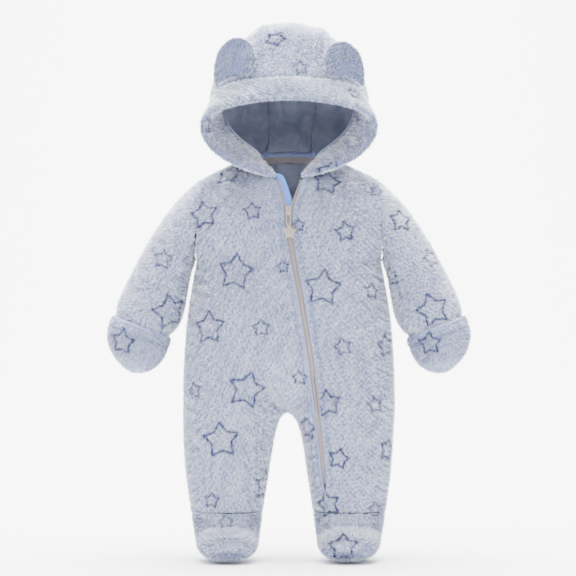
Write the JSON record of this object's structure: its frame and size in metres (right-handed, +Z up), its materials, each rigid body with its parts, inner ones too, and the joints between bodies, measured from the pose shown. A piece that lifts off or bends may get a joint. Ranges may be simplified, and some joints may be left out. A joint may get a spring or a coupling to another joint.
{
  "type": "hooded plush fleece baby snowsuit",
  "caption": "Hooded plush baby snowsuit with bear ears, fold-over mitts, footed legs and a slanting zip, filled out as if worn.",
  "frame": {"origin": "middle of the neck at the height of the shoulders, where the wearer holds the suit up", "axes": "+Z up, the front faces -Y, +X to the wearer's left"},
  "size_m": [0.519, 0.2041, 0.7615],
  "materials": {
    "plush": "pale grey-blue plush fleece with fuzzy navy star outlines",
    "ear_plush": "short plush, a little darker",
    "velour": "grey velour lining",
    "neck_tape": "brownish grey woven tape",
    "zip_tape": "warm light grey woven zip tape",
    "zip_guard": "bright blue jersey",
    "zip_metal": "pale plated metal"
  },
  "bodies": {
    "suit": {"front_right": "plush", "front_left": "plush", "back": "plush", "sleeve_right": "plush", "sleeve_left": "plush", "mitt_right": "plush", "mitt_left": "plush", "foot_top_right": "plush", "foot_top_left": "plush", "sole_right": "plush", "sole_left": "plush", "hood_side_right": "plush", "hood_side_left": "plush", "hood_centre": "plush", "hood_brim": "plush", "ear_right": "ear_plush", "ear_left": "ear_plush", "hood_lining_side_right": "velour", "hood_lining_side_left": "velour", "hood_lining_centre": "velour", "back_lining": "velour", "neck_tape": "neck_tape", "zip_tape_right": "zip_tape", "zip_tape_left": "zip_tape", "zip_guard": "zip_guard", "zip_slider": "zip_metal"},
    "pull": {"zip_pull": "zip_metal"}
  },
  "joints": [
    {"name": "pull_hinge", "type": "hinge", "parent": "suit", "child": "pull", "pos_m": [-0.0008, -0.0694, -0.0694], "axis": [-1, 0, 0], "range_deg": [0, 150]}
  ]
}
